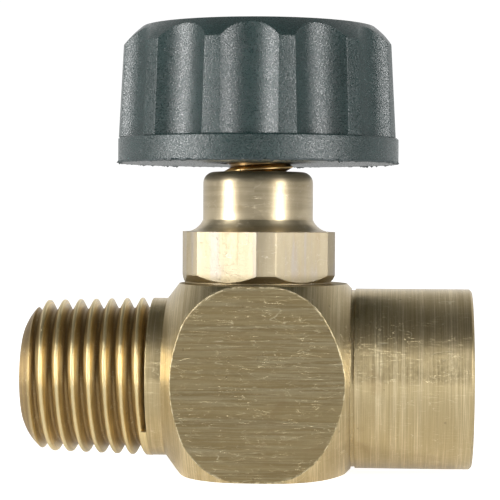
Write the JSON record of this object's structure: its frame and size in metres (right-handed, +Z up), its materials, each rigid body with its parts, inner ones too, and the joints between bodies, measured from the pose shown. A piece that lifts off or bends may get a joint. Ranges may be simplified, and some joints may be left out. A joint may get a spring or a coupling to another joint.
{
  "type": "needle valve",
  "caption": "Small straight needle valve: square-bar brass body, tapered male thread, female threaded boss, hexagonal bonnet and fluted hand knob on a screwed spindle.",
  "frame": {"origin": "centre of the body's flat underside, on the spindle axis; the flow axis is 8 mm above it", "axes": "+Z up along the spindle towards the knob, +X along the flow axis out of the female port, the male thread points to -X"},
  "size_m": [0.0378, 0.0238, 0.0377],
  "materials": {
    "brass": "drawn and turned, satin",
    "brass_bonnet": "turned, bright",
    "brass_spindle": "turned, bright",
    "brass_insert": "plain drawn",
    "knob_plastic": "fine eroded grain",
    "cap_plastic": "fine eroded grain",
    "nitrile": "moulded",
    "ptfe": "machined",
    "zinc_steel": "zinc plated"
  },
  "bodies": {
    "valve": {"valve_body": "brass", "bonnet": "brass_bonnet", "bonnet_gasket": "ptfe"},
    "stem_seal": {"stem_o_ring": "nitrile", "backup_ring": "ptfe"},
    "spindle_and_knob": {"spindle": "brass_spindle", "hand_knob": "knob_plastic", "drive_insert": "brass_insert", "spring_washer": "zinc_steel", "knob_screw": "zinc_steel", "knob_cap": "cap_plastic"}
  },
  "joints": [
    {"name": "spindle_lift", "type": "slide", "parent": "valve", "child": "stem_seal", "axis": [0, 0, 1], "range_m": [0, 0.00275]},
    {"name": "knob_turn", "type": "hinge", "parent": "stem_seal", "child": "spindle_and_knob", "pos_m": [0, 0, 0.02625], "axis": [0, 0, 1], "range_deg": [0, 990]}
  ],
  "couplings": [
    {"joint": "spindle_lift", "follows": "knob_turn", "m_per_rad": 0.00015915}
  ]
}
